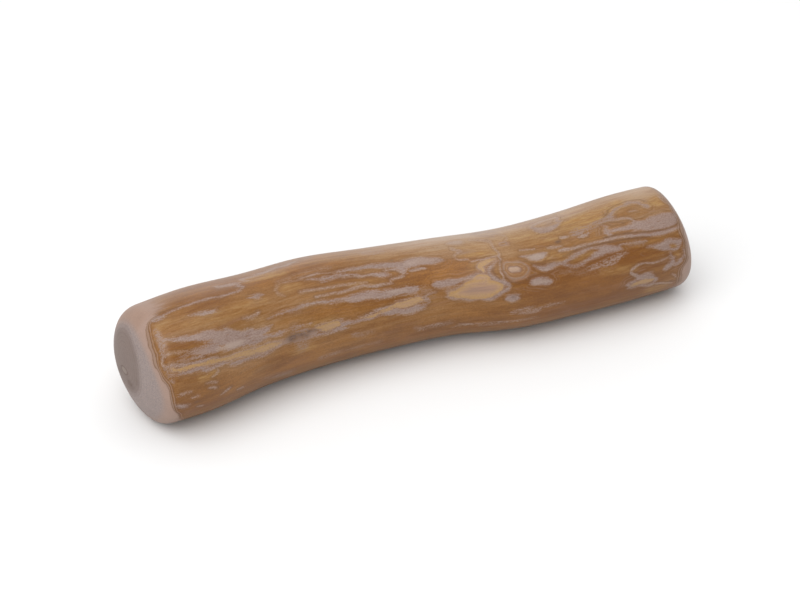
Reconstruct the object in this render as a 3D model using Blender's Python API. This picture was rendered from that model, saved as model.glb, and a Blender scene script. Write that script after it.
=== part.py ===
"""Coffee wood chew stick: one peeled, rounded length of branch, lying on its side.

Run it with: blender --background --python part.py

The stick runs along X, rests on the plane Z = 0, and its middle is over the origin.
Lengths are millimetres until the mesh is made, and metres in it.
"AROUND" is an angle about the stick, in degrees from the top towards the front (-Y).
"""

import bmesh
import bpy
import numpy as np

MM = 0.001
STICK_NAME = "coffee_wood_stick"

# Driving dimensions: the length along the middle of the branch, and the ten stations along it that
# its shape goes through. The leaning cuts reach 1 mm further at each end, so it is 182 mm overall.
LENGTH = 180.0
HALF = LENGTH / 2
STATION_X = np.linspace(-HALF, HALF, 10)
# How far the branch's centre line swings sideways at each station: a slow S, with a crook past the middle.
SWING = [-4.5, -2.2, 1.9, 4.4, 3.7, 1.5, -3.0, -3.3, -2.5, -1.3]
# The branch's radius at each station: thickest near the butt end, with a waist before the knot.
RADIUS = [17.5, 18.3, 16.9, 16.5, 15.5, 14.9, 15.3, 15.7, 16.3, 15.9]
# How far its underside clears the surface. It touches near both ends and once on the bowed-out side.
CLEARANCE = [0.6, 0.0, 0.3, 0.0, 0.5, 1.0, 0.8, 0.4, 0.0, 0.0]
# The three places that it rests on are worn flat by this depth.
WORN_DEPTH = 0.22

# Each end (-1 butt, +1 tip) is a saw cut tumbled to a dome: its depth, and its roundness (2 is an
# ellipse, more is squarer).
DOMES = {-1: (7.7, 2.7), 1: (7.4, 2.65)}
# The saw cuts lean a little: how far the end moves along X for each mm in Y, and for each mm in Z.
CUT_LEAN = {-1: (-0.19, 0.0), 1: (0.0, -0.18)}
CUT_REACH = 22.0

# Where side shoots were, the wood swells or dips: x (mm), around (degrees), height, half-length and
# half-width (mm).
KNOTS = [
    (26.5, 50.0, 0.55, 9.0, 6.5),
    (25.5, 229.0, 0.70, 8.0, 6.0),
    (-43.5, 74.0, -0.30, 3.0, 1.6),
    (-58.0, 262.0, 0.45, 10.0, 5.0),
]
# Long shallow hollows left by the growth of the branch: depth, lobes round it, turn in degrees
# for each mm along, and start angle.
FLUTES = [
    (0.16, 2, 0.50, 35.0),
    (0.12, 3, -0.38, 80.0),
    (0.07, 5, 0.30, 10.0),
]

# Mesh density: rings along the body, rings on each dome, and points round a ring.
BODY_RINGS = 34
DOME_RINGS = 8
RING_POINTS = 60


def through_stations(x, values):
    """A smooth curve through one value for each station: cubic pieces with matching slopes."""
    values = np.asarray(values, float)
    slopes = np.gradient(values, STATION_X)
    left = np.clip(np.searchsorted(STATION_X, x) - 1, 0, len(values) - 2)
    step = STATION_X[left + 1] - STATION_X[left]
    t = (x - STATION_X[left]) / step
    here = values[left] * (1 + 2 * t) * (1 - t) ** 2 + slopes[left] * step * t * (1 - t) ** 2
    there = values[left + 1] * t**2 * (3 - 2 * t) + slopes[left + 1] * step * t**2 * (t - 1)
    return here + there


def ring_places():
    """(x, share of the full radius) of every ring, from the butt end's tip ring to the far one."""
    places = []
    turns = np.linspace(0, np.pi / 2, DOME_RINGS + 1)[1:]
    for side in (-1, 1):
        depth, roundness = DOMES[side]
        share = np.sin(turns)
        inset = depth * (1 - (1 - share**roundness).clip(0) ** (1 / roundness))
        dome = [(side * (HALF - back), part) for back, part in zip(inset, share)]
        places.append(dome if side < 0 else dome[::-1])
    body = np.linspace(places[0][-1][0], places[1][0][0], BODY_RINGS + 2)[1:-1]
    return places[0] + [(x, 1.0) for x in body] + places[1]


def swelling(x, around):
    """Height of the knots and hollows above the plain round branch."""
    height = np.zeros_like(around)
    mean_radius = np.mean(RADIUS)
    for knot_x, knot_around, rise, half_length, half_width in KNOTS:
        turn = (around - knot_around + 180) % 360 - 180
        across = np.radians(turn) * mean_radius
        reach = ((x - knot_x) / half_length) ** 2 + (across / half_width) ** 2
        height += rise * np.exp(-reach)
    for depth, lobes, twist, start in FLUTES:
        height += depth * np.sin(np.radians(lobes * (around + start) + twist * x * lobes))
    return height


def ring(x, share):
    """The points of one ring, in mm, from the top round by the front."""
    around = np.arange(RING_POINTS) * 360.0 / RING_POINTS
    angle = np.radians(around)
    full = through_stations(x, RADIUS)
    radius = (full + swelling(x, around)) * share
    across, height = -radius * np.sin(angle), radius * np.cos(angle)
    end = 1 if x > 0 else -1
    lean_y, lean_z = CUT_LEAN[end]
    near_end = np.clip((end * x - HALF + CUT_REACH) / CUT_REACH, 0, 1) ** 2
    along = x + near_end * (lean_y * across + lean_z * height)
    centre_height = full + through_stations(x, CLEARANCE) - WORN_DEPTH
    rest = np.maximum(centre_height + height, 0.0)
    return np.column_stack([along, through_stations(x, SWING) + across, rest])


def stick_points():
    """All rings, moved so that the middle of the stick's box is over the origin."""
    rings = np.array([ring(x, share) for x, share in ring_places()])
    flat = rings.reshape(-1, 3)
    middle = (flat.min(axis=0) + flat.max(axis=0)) / 2
    rings[..., 0] -= middle[0]
    rings[..., 1] -= middle[1]
    return rings * MM


def stick_mesh(rings):
    """One closed skin: quads between rings, and a fan on the small disc at each end."""
    bm = bmesh.new()
    grid = [[bm.verts.new(p) for p in points] for points in rings]
    for near, far in zip(grid, grid[1:]):
        for i in range(RING_POINTS):
            j = (i + 1) % RING_POINTS
            bm.faces.new((near[i], near[j], far[j], far[i]))
    for end, rim in ((0, grid[0]), (-1, grid[-1])):
        tip = bm.verts.new(rings[end].mean(axis=0))
        for i in range(RING_POINTS):
            bm.faces.new((rim[i], rim[(i + 1) % RING_POINTS], tip))
    bmesh.ops.recalc_face_normals(bm, faces=bm.faces)
    bmesh.ops.triangulate(bm, faces=bm.faces)
    mesh = bpy.data.meshes.new(STICK_NAME)
    bm.to_mesh(mesh)
    bm.free()
    mesh.shade_smooth()
    return mesh


def wood_material():
    """Tumbled coffee wood: golden brown, with a dull polish."""
    material = bpy.data.materials.new("coffee_wood")
    material.use_nodes = True
    shader = material.node_tree.nodes["Principled BSDF"]
    shader.inputs["Base Color"].default_value = (0.32, 0.17, 0.07, 1.0)
    shader.inputs["Roughness"].default_value = 0.45
    shader.inputs["Metallic"].default_value = 0.0
    return material


def main():
    for old in list(bpy.data.objects):
        bpy.data.objects.remove(old)
    mesh = stick_mesh(stick_points())
    mesh.materials.append(wood_material())
    stick = bpy.data.objects.new(STICK_NAME, mesh)
    bpy.context.scene.collection.objects.link(stick)


main()
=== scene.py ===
"""Looks of the coffee wood chew stick: one fine skin with its figure, a pale floor and a studio.

The skin has the solid's own shape, made finer. Its figure is worn-through growth layers: strokes
given one by one on the side that shows, and made up in the same manner on the rest.
Painted light is in the colour too: sheen along the top edge, shade along the underside and
highlights in the grey patches. Lengths are millimetres until the mesh is made. AROUND is an angle
about the stick, in degrees from the top towards the front (-Y). A stroke is (x, around, half width)
for each of its points.
"""

import math

import bpy
import numpy as np
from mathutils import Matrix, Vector


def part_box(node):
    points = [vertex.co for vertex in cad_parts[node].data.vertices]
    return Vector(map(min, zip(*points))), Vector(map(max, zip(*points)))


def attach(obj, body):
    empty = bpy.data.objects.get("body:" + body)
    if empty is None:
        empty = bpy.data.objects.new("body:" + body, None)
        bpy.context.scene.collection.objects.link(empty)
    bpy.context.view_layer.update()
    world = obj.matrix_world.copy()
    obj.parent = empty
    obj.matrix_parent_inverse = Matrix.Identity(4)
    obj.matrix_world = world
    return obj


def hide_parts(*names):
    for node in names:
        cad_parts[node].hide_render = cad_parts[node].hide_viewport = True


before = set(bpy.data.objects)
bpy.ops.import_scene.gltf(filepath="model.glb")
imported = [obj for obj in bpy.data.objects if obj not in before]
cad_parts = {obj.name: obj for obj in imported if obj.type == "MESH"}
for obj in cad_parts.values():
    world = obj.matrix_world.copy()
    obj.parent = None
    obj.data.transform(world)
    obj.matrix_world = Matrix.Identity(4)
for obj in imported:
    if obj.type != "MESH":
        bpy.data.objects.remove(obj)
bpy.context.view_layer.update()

MM = 0.001
NODE = "coffee_wood_stick"

# The solid's driving dimensions: half its length without the leaning cuts, then at each station along
# it how far its middle swings sideways, its radius and its underside's clearance, then how deep it is
# worn where it rests. Each end (-1 butt, +1 tip) has a dome's depth and roundness and a cut's lean.
# Knots are x, around, height, half length and half width. Flutes are depth, lobes, twist and start.
HALF = 90.0
STATION_X = np.linspace(-HALF, HALF, 10)
SWING = [-4.5, -2.2, 1.9, 4.4, 3.7, 1.5, -3.0, -3.3, -2.5, -1.3]
RADIUS = [17.5, 18.3, 16.9, 16.5, 15.5, 14.9, 15.3, 15.7, 16.3, 15.9]
CLEARANCE = [0.6, 0.0, 0.3, 0.0, 0.5, 1.0, 0.8, 0.4, 0.0, 0.0]
WORN_DEPTH = 0.22
DOMES = {-1: (7.7, 2.7), 1: (7.4, 2.65)}
CUT_LEAN = {-1: (-0.19, 0.0), 1: (0.0, -0.18)}
CUT_REACH = 22.0
KNOTS = [(26.5, 50.0, 0.55, 9.0, 6.5), (25.5, 229.0, 0.70, 8.0, 6.0), (-43.5, 74.0, -0.30, 3.0, 1.6),
         (-58.0, 262.0, 0.45, 10.0, 5.0)]
FLUTES = [(0.16, 2, 0.50, 35.0), (0.12, 3, -0.38, 80.0), (0.07, 5, 0.30, 10.0)]
MEAN_RADIUS = np.mean(RADIUS)

# How fine the skin is: mm between rings on the plain body, by the main knot and on the ends, how
# much that grows for each mm from an end, and degrees between points on the two parts of a ring.
BODY_STEP = 0.78
KNOT_STEP = 0.38
END_STEP = 0.46
STEP_GROWTH = 0.05
KNOT_SPAN = (18.0, 34.0)
FINE_TURN = 1.0
COARSE_TURN = 1.6
FINE_FROM, FINE_TO = -45.0, 155.0
# How many points a dome's profile is measured along.
PROFILE_POINTS = 4001

# The camera: the photograph's view, aimed at a point in the row frame, in metres. The lens and the
# sensor are in mm.
VIEW_AZIMUTH = -25.0
VIEW_ELEVATION = 33.0
VIEW_DISTANCE = 0.8
VIEW_AIM = (-0.00293, 0.00165, 0.01478)
LENS = 120.56
SENSOR = 36.0

# The softboxes: name, place, width and height in metres, and power in watts. All face the origin.
LIGHTS = [
    ("overhead", (0.0, -0.1, 1.4), 2.0, 2.0, 9.8),
    ("left", (-0.72, -0.42, 0.92), 1.3, 1.3, 10.0),
    ("back", (1.0, 1.6, 0.55), 2.6, 1.0, 8.4),
]
WORLD_STRENGTH = 0.68

# The floor's width and how far it lies under the stick, in metres, and its two pale greys.
FLOOR_SIZE = 12.0
FLOOR_DROP = 0.0001
FLOOR_GREYS = (0.77, 0.79)

# The worn patches. Each is a kind and a stroke. A brown one covers what comes before it, and the
# ones after it wear through it again. Kinds:
#   grey   worn through to the grey-mauve layer
#   tan    worn through that too, to the tan layer
#   brown  the outer layer, left standing
PATCHES = [
    # Butt end, from the top down.
    ("grey", [(-84, 12, .9), (-81, 12.2, .7), (-78, 9.5, .45), (-75, 8.8, .4), (-70, 9.5, .3),
     (-65, 10.5, .35), (-60, 11, .35), (-56.5, 10.3, .45), (-55, 5, .6), (-54, 1, .6), (-52.5, -4, .5),
     (-50, -8.5, .5), (-46, -10, .45), (-41, -12, .5), (-34, -15, .5)]),
    ("grey", [(-61, -4, .7), (-58, -3.5, 1.1), (-55.5, -3, .9)]),
    ("grey", [(-74.5, 20, .2), (-72, 22, .45), (-69.5, 24.2, .6), (-67.5, 24.5, .6), (-65.3, 24, .2)]),
    ("grey", [(-53, 23, .5), (-51.5, 23, .7), (-50, 22.6, .45)]),
    ("grey", [(-85.2, 34.5, .12), (-83, 36.3, .3), (-80.5, 39.5, .35), (-78, 41, .5), (-75.5, 43, 1.1),
     (-72, 45.5, 1.5), (-69, 48, 2.1), (-66, 51, 2.6), (-63, 54.5, 2.3), (-60, 56.5, 2.1), (-57, 58, 2),
     (-54, 58, 1.3), (-51.5, 56.5, .8), (-49.3, 55, .25)]),
    ("grey", [(-77, 54, .3), (-74.5, 55.5, .7), (-72, 57, 1.2), (-69, 57, 1.2)]),
    ("grey", [(-68.5, 59.5, .3), (-65.5, 60.3, .7), (-62, 61, 1), (-58, 63, 1.2), (-54.5, 64.3, .9),
     (-51, 64.2, .5), (-47.8, 65.3, .45), (-45, 66, .12)]),
    ("brown", [(-76, 50.5, .12), (-73, 51.3, .25), (-69.7, 51.6, .1)]),
    ("tan", [(-86.3, 63, .3), (-84.8, 63.8, .5), (-82.5, 65, .45), (-79, 66.2, .38), (-75, 67.2, .38),
     (-71, 68.4, .45), (-67, 69.8, .55), (-63, 71.2, .6), (-60, 72.4, .7), (-57, 73.4, .8),
     (-54.5, 74.2, .8), (-52, 74.3, .65), (-49.5, 73.8, .45), (-47.5, 73.3, .2)]),
    ("grey", [(-86.8, 66.3, .35), (-84, 68.3, .45), (-81, 69.6, .4), (-78, 70.3, .45), (-75, 71.6, .75),
     (-73.6, 74, .7), (-71, 73.3, .5), (-68, 74, .6), (-65, 76.5, .6), (-62, 78, .45), (-58, 79, .4),
     (-55, 80.3, .4), (-52, 79.5, .35), (-49, 77.5, .4), (-46.5, 75.5, .45), (-44, 75, .5)]),
    ("grey", [(-84.3, 103, .5), (-82.5, 105, .8), (-80.3, 105.7, .35)]),
    # The middle, from the top down.
    ("grey", [(-34.5, 21.7, .15), (-32, 22.5, .4), (-29, 24, .65), (-26.5, 25, .65), (-24, 24, .5),
     (-22, 24.6, .5), (-20, 25.6, .25), (-18, 27, .15)]),
    ("grey", [(-27, 18.5, .15), (-23, 19.2, .3), (-20, 18.7, .4), (-17, 18.5, .6), (-14, 18.2, .8),
     (-11, 19.8, .95), (-8, 21.8, .95), (-5, 24, 1.3), (-3, 23, 1.5), (0, 21.7, 1.5), (2, 21.5, 1.45),
     (4, 23.2, 1.3), (6.5, 24.7, 1), (8.4, 25.3, .3)]),
    ("grey", [(-5, 26.5, 1), (-4.6, 30, 1), (-3.8, 31.8, .5)]),
    ("brown", [(-20.5, 22, .12), (-17, 24, .3), (-14, 26, .3), (-11, 27.5, .15)]),
    ("brown", [(-3.2, 27.6, .12), (-1, 28.5, .28), (2.2, 30, .15)]),
    ("grey", [(-14.5, 29, .25), (-12.5, 31, .7), (-10.5, 31.5, .7), (-8.9, 30.5, .3)]),
    ("brown", [(-18.7, 41.6, .1), (-16.5, 42, .32), (-14.6, 42, .12)]),
    ("grey", [(-50.5, 46.8, .12), (-47, 47, .3), (-44.5, 46, .3), (-43, 46.3, .4), (-41, 46.7, .5),
     (-38, 46.2, .5), (-35, 46.7, .45), (-32, 48, .5), (-29, 49.2, .45), (-26, 50, .55),
     (-23.5, 51.3, .85), (-21, 51, 1.2), (-18, 51, 1.45), (-15, 52, 1.35), (-12, 52.5, 1.15),
     (-9, 52.7, 1.2), (-6, 53.2, 1.25), (-4, 53.7, 1.1), (-2.6, 54, .4)]),
    ("brown", [(-27, 45, .1), (-23, 46.3, .2), (-19, 45.3, .22), (-15, 46.6, .15)]),
    ("grey", [(2.7, 53, .5), (4.5, 53, 1.2), (7, 53.5, 1.35), (9.3, 53.5, 1.1), (11, 52.5, .8),
     (13, 51, .6), (15, 49.3, .5), (16.5, 47.3, .35)]),
    ("grey", [(-44, 62, .1), (-41, 63, .2), (-37, 65.5, .12)]),
    ("tan", [(-34.7, 72, .3), (-32.3, 73, .85), (-29.7, 73.2, .95), (-27.5, 73.4, .5)]),
    ("grey", [(-39, 75, .8), (-36.5, 77.2, .65), (-33.5, 78.7, .45), (-30, 79.6, .4), (-27.5, 78.2, .75),
     (-26, 74.5, .9), (-25, 74.2, .6), (-23, 75.5, .4), (-20.5, 74.5, .45), (-18, 73.7, .6),
     (-16.5, 74.3, .35), (-15, 73.6, .4), (-13.5, 72.5, .75), (-11, 73.3, 1), (-8.5, 75, .9),
     (-6, 76, .85), (-4, 75.7, .85), (-2, 74.6, .6), (-.6, 72, .5), (.2, 69, .6), (-.3, 65.5, .5)]),
    ("tan", [(-11.3, 67.8, .12), (-9.5, 68, .45), (-7, 67.5, .95), (-5, 66.8, 1.2), (-3, 66.2, 1),
     (-1.4, 66.2, .45)]),
    ("tan", [(-22, 73, .12), (-19.5, 72.6, .28), (-16.5, 72.4, .3), (-13.5, 70.8, .32), (-11, 69, .2)]),
    # By the main knot.
    ("grey", [(12.3, 1, .5), (14, .5, 1.2), (15.5, 1.5, 1.1), (16.3, 3, .5)]),
    ("tan", [(17.6, 41, .45), (17.9, 38.5, .7), (19.2, 36, .6), (21, 34, .35), (22.6, 32.4, .15)]),
    ("tan", [(17.9, 40.5, .5), (18.3, 44, .5)]),
    ("grey", [(23.6, 35, .25), (22, 38.2, .45), (20.9, 41, .6), (20.1, 44, .65), (19.7, 48, .55),
     (20.2, 52, .55), (21.2, 56, .8), (22.7, 60, .85), (24.2, 63.3, .75), (24.6, 66, .35),
     (23.6, 69.5, .6), (22, 72.7, .6), (20.5, 75.7, .6), (18.5, 77.4, .6), (16, 77, .42), (13, 76, .35),
     (10, 74, .32), (8, 71.3, .42), (6.8, 68, .42), (6.6, 64, .35), (7.4, 61, .25)]),
    ("tan", [(6.8, 66.6, .45), (8.6, 66.5, .9), (11, 66.3, 1.7), (14, 66, 2.2), (17, 66, 2.4),
     (20, 65.6, 2), (21.5, 65, 1.3)]),
    ("tan", [(15, 55.5, .6), (17, 53, 1.3), (18.4, 55.5, 1.3), (17.8, 60, 1.9)]),
    ("tan", [(12, 60, .6), (14.5, 58.5, 1.3), (17, 60, 1.6)]),
    ("tan", [(12.5, 72, .6), (16, 73.7, .85), (19.3, 72.4, .7)]),
    ("grey", [(31.3, 64, .6), (33.3, 65, 1.15), (35.7, 67, 1.1), (37.7, 68.6, .35)]),
    ("grey", [(24, 79.5, .9), (25.5, 79.3, 1.35), (26.8, 79, .8)]),
    ("grey", [(30.4, 35.6, .2), (32.2, 36.6, .7), (34.4, 37.8, 1.05), (36.8, 38.6, .95),
     (38.8, 38.6, .3)]),
    ("grey", [(33.6, 47.5, .2), (34.8, 50.5, .6), (36.3, 53.3, 1), (39, 52.2, .8), (42, 51.5, .5),
     (45, 49.5, .55), (48, 46.6, .6), (51, 44.8, .6), (54, 46.3, .6), (56.5, 49.8, 1), (59, 51.5, 1.15),
     (61.3, 53, .8), (62.2, 55, .25)]),
    ("grey", [(42.5, 53, .4), (44.5, 57, .42), (46.5, 59.2, .42), (49, 58.4, .4), (51.5, 55.8, .45),
     (54, 53.6, .6), (56.5, 52.3, .8)]),
    # Tip end, from the top down.
    ("grey", [(48.2, -9, .35), (48, -4, .45), (47, 1, .5), (45, 5.3, .9), (42, 7.3, 1.2), (39.7, 5, 1.25),
     (38.6, 0, .9), (39.7, -5.5, .45), (42, -9, .3), (45, -10.5, .25), (48, -9.5, .25)]),
    ("grey", [(66, 43.3, .2), (68, 44.6, .4), (71, 47.2, .6), (74, 49.3, .8), (77, 50.4, .85),
     (80, 50.7, .75), (83, 49.6, .5), (84.7, 46.5, .25)]),
    ("grey", [(59.8, 26.5, .5), (60, 29, .8), (59.8, 33, .9), (60.4, 35, .5)]),
    ("grey", [(60, 32, .5), (62, 32.4, .6), (64.5, 33.2, .85), (67, 34.4, 1.1), (70, 35.8, 1.5),
     (73, 36.8, 1.9), (76, 37.3, 2.2), (79, 37.6, 2.4), (82, 37.4, 2.3), (84, 37, 1.8), (85, 37, 1)]),
    ("grey", [(61, 18.5, .3), (63.3, 14, .6), (65.3, 9.7, .5), (68, 6.3, .42), (71, 5.4, .5),
     (74, 6.8, .55), (75.2, 10.3, .65), (76.2, 14, .75), (77, 17.3, .5)]),
    ("grey", [(70.3, 60.4, .2), (73, 61.5, .42), (75.5, 62.7, .8), (78, 64.2, 1.5), (80.5, 65, 1.5),
     (82.5, 64.6, 1.25), (83.6, 64, .6)]),
    ("grey", [(77, 67.6, .6), (80, 70, .8), (82, 70.2, .6)]),
    ("brown", [(79.5, 66.6, .35), (80.5, 66.9, .65), (81.6, 67.3, .4)]),
    ("brown", [(80.6, 75.8, .5), (81.6, 77.5, .9), (82.2, 79.5, .6)]),
    ("grey", [(78.6, 71.5, .25), (79, 76, .35), (79.5, 80, .35), (80, 84.5, .7), (78, 89, .8),
     (76.3, 92, .5)]),
    ("grey", [(83.7, 72, .25), (84.1, 77, .3), (83.7, 82, .4), (82.5, 86, .6), (80.5, 88, .7)]),
    ("grey", [(66.5, 92.5, .6), (68.5, 92.5, 1), (70.7, 93.5, 1.1), (72, 97.5, .9), (73, 102, .7),
     (73.6, 106, .55), (71.3, 108, .5), (69, 106.7, .4), (67.5, 104, .35), (65.4, 104.3, .45),
     (63.7, 101, .55), (63.7, 97, .5), (65.5, 95.2, .5)]),
    ("tan", [(64.2, 101.3, .3), (66, 100.3, .65), (68.3, 99.6, .85), (70.6, 100, .7), (71.8, 100.3, .3)]),
]

# Thin lines of the grey-mauve layer, as strokes.
LINES = [
    # Butt end, from the top down.
    [(-58.3, 40.5, .2), (-56.5, 41.5, .5), (-54.5, 41, .55), (-52.3, 39.3, .3)],
    [(-86.6, 61, .3), (-87, 57, .3), (-86.8, 52.5, .28), (-85.8, 49, .28), (-83.6, 49.3, .26),
     (-80.5, 51, .25), (-77.5, 52.8, .25), (-74.8, 54.5, .3)],
    [(-86.2, 60, .4), (-84, 60.3, .45), (-82, 61.5, .35), (-79, 63, .3), (-76, 64.5, .45), (-73, 65, .55),
     (-70.5, 66, .45), (-68.8, 66.6, .2)],
    [(-77.4, 59.4, .15), (-75.3, 60.2, .25), (-73.5, 61.8, .15)],
    [(-71.8, 82.3, .12), (-70.4, 81, .22), (-69.5, 78.5, .22), (-69.8, 76, .12)],
    [(-74, 87, .12), (-72, 87.5, .28), (-70.3, 89.2, .15)],
    [(-73, 92.5, .1), (-71, 94.5, .25), (-70.2, 95.5, .12)],
    [(-68.8, 106, .25), (-66.8, 103.3, .42), (-65.7, 101.8, .2)],
    [(-62.8, 109.5, .2), (-61.3, 110.5, .42)],
    [(-76.6, 112, .2), (-75, 114, .25)],
    # The middle, from the top down.
    [(-42.5, 15.7, .22), (-44.3, 19.5, .32), (-44.8, 24, .3), (-44.3, 28, .25), (-43, 30.5, .15)],
    [(-41.5, 16.3, .18), (-38, 17.4, .22), (-34, 17, .22), (-30, 16.7, .22), (-27, 17.8, .25)],
    [(-2.5, 31.5, .2), (0, 31.3, .4), (2.2, 32, .2)],
    [(-24, 26.8, .12), (-18, 28.6, .22), (-14, 29.6, .25)],
    [(-10.5, 26, .18), (-7.6, 27, .22), (-6, 30, .22), (-5, 33.5, .25), (-5.3, 35.8, .3), (-7, 37.6, .28),
     (-9.5, 38.6, .15)],
    [(-38.3, 31.3, .18), (-35, 33, .35), (-32, 34, .35), (-28, 34.7, .25), (-24, 36, .22),
     (-20, 36.6, .25), (-16.8, 37.2, .15)],
    [(-34, 40.8, .12), (-30, 41.6, .2), (-26, 42.2, .3), (-23, 41.5, .4), (-19, 40, .5), (-16, 41.3, .55),
     (-14.3, 42, .5), (-12, 42.2, .25), (-9.3, 41.5, .1)],
    [(-20, 71.8, .12), (-17.7, 70, .2), (-16, 67.8, .22), (-14, 66.8, .2), (-11.5, 67, .15)],
    [(3, 60.2, .12), (.5, 62, .2), (-.5, 65, .22)],
    # By the main knot.
    [(12, 9, .3), (13, 13, .6), (14.2, 16, .6), (12.4, 19.5, .3), (11.8, 23.5, .28), (12.8, 27.5, .28),
     (15.5, 28.6, .2)],
    [(19.3, -.5, .3), (21.8, 2, .6), (23.4, 5, .85), (24.4, 8.5, .5), (24.1, 12, .3), (24, 17, .26),
     (24.3, 22, .26), (24.7, 26, .3), (24.2, 30, .32), (24.2, 33.5, .24), (23.6, 38, .18),
     (23.3, 43, .22), (23.1, 48, .22), (23.5, 53, .22), (23.3, 58, .3)],
    [(28, -3, .18), (29.3, 2, .2), (29.4, 7, .22), (28.3, 9.6, .2)],
    [(15.8, 31.8, .12), (18, 31, .25), (20, 30.4, .2), (22, 30, .22), (23.6, 29.4, .22)],
    [(9.8, 111, .12), (12, 112, .28), (14.2, 113.2, .12)],
    [(30.9, 26.8, .15), (33, 28, .25), (35.3, 28.7, .15)],
    [(39.8, 31.3, .25), (42, 32.2, .42), (44.2, 33, .25)],
    # Tip end, from the top down.
    [(44.7, 22.6, .3), (46, 23.5, .45), (47.4, 24.2, .2)],
    [(50.3, 28.2, .2), (51.7, 29, .45), (53.4, 29.7, .15)],
    [(57, 19.4, .12), (59, 19.6, .22), (61, 19.8, .35), (64, 21, .45), (67, 22.4, .35), (69, 25, .28),
     (69.7, 28.5, .35)],
    [(42.8, 38, .45), (44.3, 37.8, .65), (47, 39.7, .42), (50, 39.7, .42), (52.5, 39.2, .35),
     (56, 40.6, .35), (60, 41.2, .42), (64, 42.2, .42), (67, 43.8, .45)],
    [(69.5, 16.8, .2), (71, 17.3, .35), (72.3, 18, .2)],
    [(83.2, 5, .2), (83.6, 9, .3), (83.5, 13, .3), (84.2, 17, .15)],
    [(62, 50.2, .12), (66, 51.8, .22), (69, 53, .22), (71.3, 54, .1)],
    [(79, 77.8, .2), (76, 79.3, .22), (73, 80, .22), (71, 78.8, .22), (69, 77, .25), (67, 77.4, .32),
     (65, 79.2, .35), (64.4, 82, .42), (65, 85.7, .45), (66.5, 89.3, .5), (67.4, 92, .6)],
    [(74, 108.2, .3), (76, 110.3, .28), (78, 113.6, .32), (80, 117, .25)],
    [(79.3, 101, .2), (80.3, 104, .35), (81, 107, .3)],
]
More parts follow.
